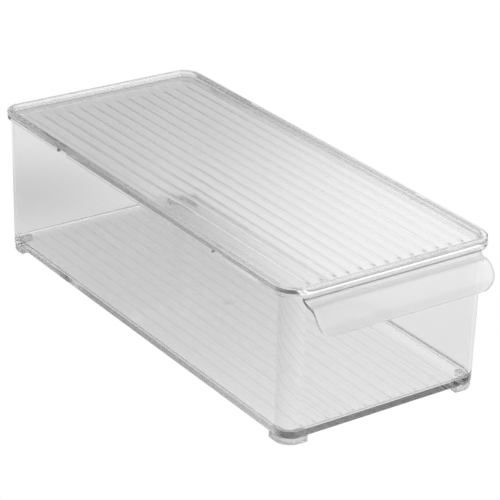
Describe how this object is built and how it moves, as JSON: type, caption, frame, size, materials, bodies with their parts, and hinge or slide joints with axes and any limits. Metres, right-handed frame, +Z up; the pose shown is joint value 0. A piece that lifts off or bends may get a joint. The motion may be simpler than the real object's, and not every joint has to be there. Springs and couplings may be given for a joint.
{
  "type": "fridge_bin",
  "caption": "Long clear storage bin with a scoop handle at the front, a ribbed floor, four corner feet and a flat ribbed lift-off lid",
  "frame": {"origin": "Middle of the whole bin's footprint, handle included, on the surface the feet stand on", "axes": "+Z up, the handle faces -Y, +X to the right of a person facing the handle, length along Y"},
  "size_m": [0.186, 0.4282, 0.125],
  "materials": {
    "tub_plastic": "clear polished moulded plastic",
    "lid_plastic": "clear polished moulded plastic",
    "foot_elastomer": "milky translucent soft elastomer, matte"
  },
  "bodies": {
    "tub": {"tub": "tub_plastic", "foot_front_left": "foot_elastomer", "foot_front_right": "foot_elastomer", "foot_back_left": "foot_elastomer", "foot_back_right": "foot_elastomer"},
    "lid": {"lid": "lid_plastic"}
  },
  "joints": [
    {"name": "lid_lift", "type": "slide", "parent": "tub", "child": "lid", "axis": [0, 0, 1], "range_m": [0, 0.08]}
  ]
}
